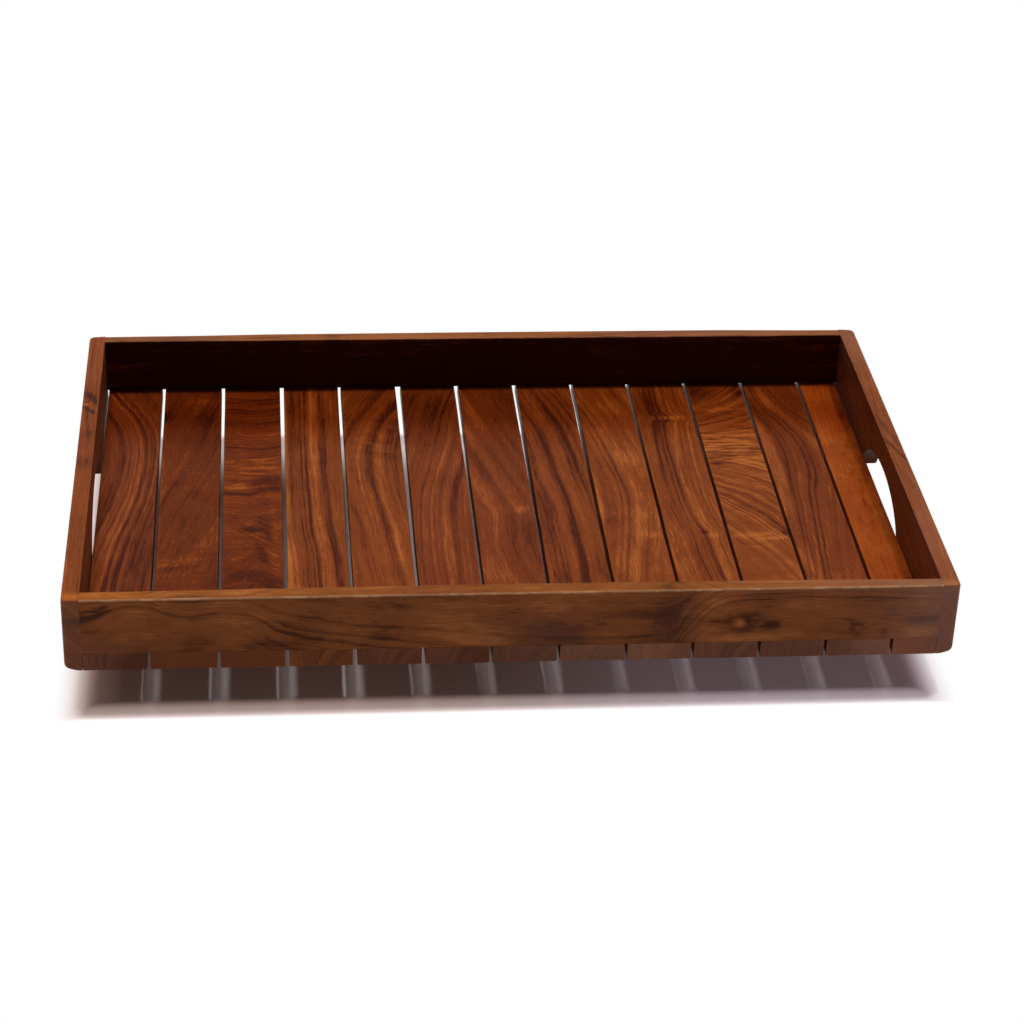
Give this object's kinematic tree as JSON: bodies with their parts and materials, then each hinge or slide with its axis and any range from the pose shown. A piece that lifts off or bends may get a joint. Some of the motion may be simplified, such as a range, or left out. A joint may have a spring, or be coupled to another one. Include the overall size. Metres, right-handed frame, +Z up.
{
  "type": "slatted serving tray",
  "caption": "Rectangular dark hardwood serving tray with a slatted floor, low rails and arched hand holds cut into its end walls.",
  "frame": {"origin": "middle of the underside", "axes": "+X along the tray from the left to the right end wall, +Y from the front rail to the back rail, +Z up"},
  "size_m": [0.45, 0.288, 0.041],
  "materials": {
    "end_wall_wood": "satin oiled hardwood",
    "rail_wood": "satin oiled hardwood",
    "slat_wood": "satin oiled hardwood with strong figure",
    "dowel_wood": "raw pale hardwood",
    "nail_steel": "drawn steel wire"
  },
  "bodies": {
    "root": {"left_end_wall": "end_wall_wood", "right_end_wall": "end_wall_wood", "front_rail": "rail_wood", "back_rail": "rail_wood", "slat_01": "slat_wood", "slat_02": "slat_wood", "slat_03": "slat_wood", "slat_04": "slat_wood", "slat_05": "slat_wood", "slat_06": "slat_wood", "slat_07": "slat_wood", "slat_08": "slat_wood", "slat_09": "slat_wood", "slat_10": "slat_wood", "slat_11": "slat_wood", "slat_12": "slat_wood", "closing_slat": "slat_wood", "slat_01_nail_front": "nail_steel", "slat_01_nail_back": "nail_steel", "slat_02_nail_front": "nail_steel", "slat_02_nail_back": "nail_steel", "slat_03_nail_front": "nail_steel", "slat_03_nail_back": "nail_steel", "slat_04_nail_front": "nail_steel", "slat_04_nail_back": "nail_steel", "slat_05_nail_front": "nail_steel", "slat_05_nail_back": "nail_steel", "slat_06_nail_front": "nail_steel", "slat_06_nail_back": "nail_steel", "slat_07_nail_front": "nail_steel", "slat_07_nail_back": "nail_steel", "slat_08_nail_front": "nail_steel", "slat_08_nail_back": "nail_steel", "slat_09_nail_front": "nail_steel", "slat_09_nail_back": "nail_steel", "slat_10_nail_front": "nail_steel", "slat_10_nail_back": "nail_steel", "slat_11_nail_front": "nail_steel", "slat_11_nail_back": "nail_steel", "slat_12_nail_front": "nail_steel", "slat_12_nail_back": "nail_steel", "closing_slat_nail_front": "nail_steel", "closing_slat_nail_back": "nail_steel", "dowel_front_left_lower": "dowel_wood", "dowel_front_left_upper": "dowel_wood", "dowel_front_right_lower": "dowel_wood", "dowel_front_right_upper": "dowel_wood", "dowel_back_left_lower": "dowel_wood", "dowel_back_left_upper": "dowel_wood", "dowel_back_right_lower": "dowel_wood", "dowel_back_right_upper": "dowel_wood"}
  },
  "joints": []
}
